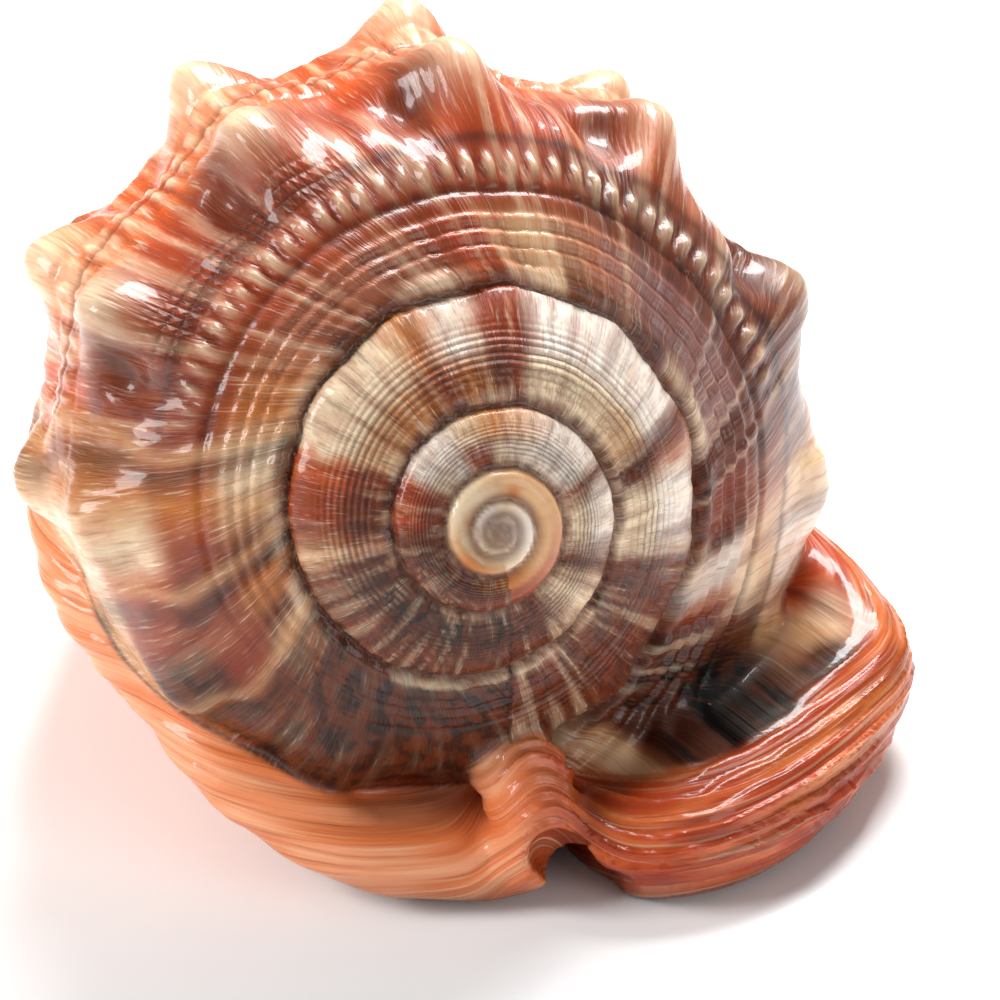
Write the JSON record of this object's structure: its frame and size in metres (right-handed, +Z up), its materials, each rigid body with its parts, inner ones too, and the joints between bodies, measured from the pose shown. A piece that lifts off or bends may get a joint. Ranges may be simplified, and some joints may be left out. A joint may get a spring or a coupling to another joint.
{
  "type": "helmet shell",
  "caption": "Large helmet sea shell with a low coiled spire, rows of blunt knobs, a thick rolled lip and callus, and a long narrow aperture.",
  "frame": {"origin": "centre of the bounding box's footprint, on the surface that the shell rests on", "axes": "+Z up, away from the aperture; -Y towards the spire end; +X towards the outer lip"},
  "size_m": [0.1142, 0.1556, 0.096],
  "materials": {
    "shell": "glossy natural calcium carbonate, wet-looking; orange-brown with cream and white blotches"
  },
  "bodies": {
    "root": {"helmet_shell": "shell"}
  },
  "joints": []
}
